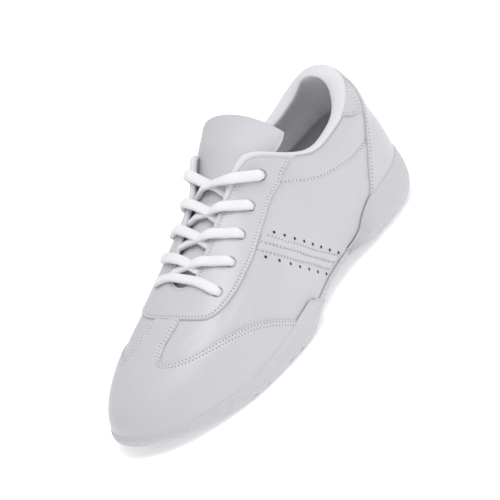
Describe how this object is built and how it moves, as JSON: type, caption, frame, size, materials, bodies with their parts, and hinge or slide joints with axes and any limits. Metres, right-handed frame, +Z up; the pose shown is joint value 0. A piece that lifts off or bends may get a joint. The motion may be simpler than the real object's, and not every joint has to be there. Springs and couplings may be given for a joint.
{
  "type": "cheerleading shoe",
  "caption": "Low-cut lace-up cheerleading shoe for the left foot, with a leather upper, T-shaped toe overlay, padded collar and tongue, and a split rubber sole.",
  "frame": {"origin": "on the floor plane, at the middle of the flat spot under the heel", "axes": "+Z up out of the floor, -Y towards the toe, +X towards the outer side of the left foot"},
  "size_m": [0.0955, 0.253, 0.1028],
  "materials": {
    "white_leather": "smooth coated white leather, soft satin gloss",
    "tongue_leather": "padded smooth white leather over white mesh",
    "white_rubber": "matt white rubber with a fine knurl",
    "lining_fabric": "white knit over foam",
    "insole_fabric": "white fabric over foam",
    "lace_fabric": "white braided polyester"
  },
  "bodies": {
    "root": {"upper": "white_leather", "eyestay": "white_leather", "toe_overlay": "white_leather", "heel_counter": "white_leather", "heel_tab": "white_leather", "quarter_band_outer_1": "white_leather", "quarter_band_outer_2": "white_leather", "quarter_band_inner_1": "white_leather", "quarter_band_inner_2": "white_leather", "heel_outsole": "white_rubber", "forefoot_outsole": "white_rubber", "midsole": "white_rubber", "tongue": "tongue_leather", "insole": "insole_fabric", "collar_lining": "lining_fabric", "lace_bar": "lace_fabric", "lace_crossing_1": "lace_fabric", "lace_crossing_2": "lace_fabric", "lace_crossing_3": "lace_fabric", "lace_crossing_4": "lace_fabric"}
  },
  "joints": []
}
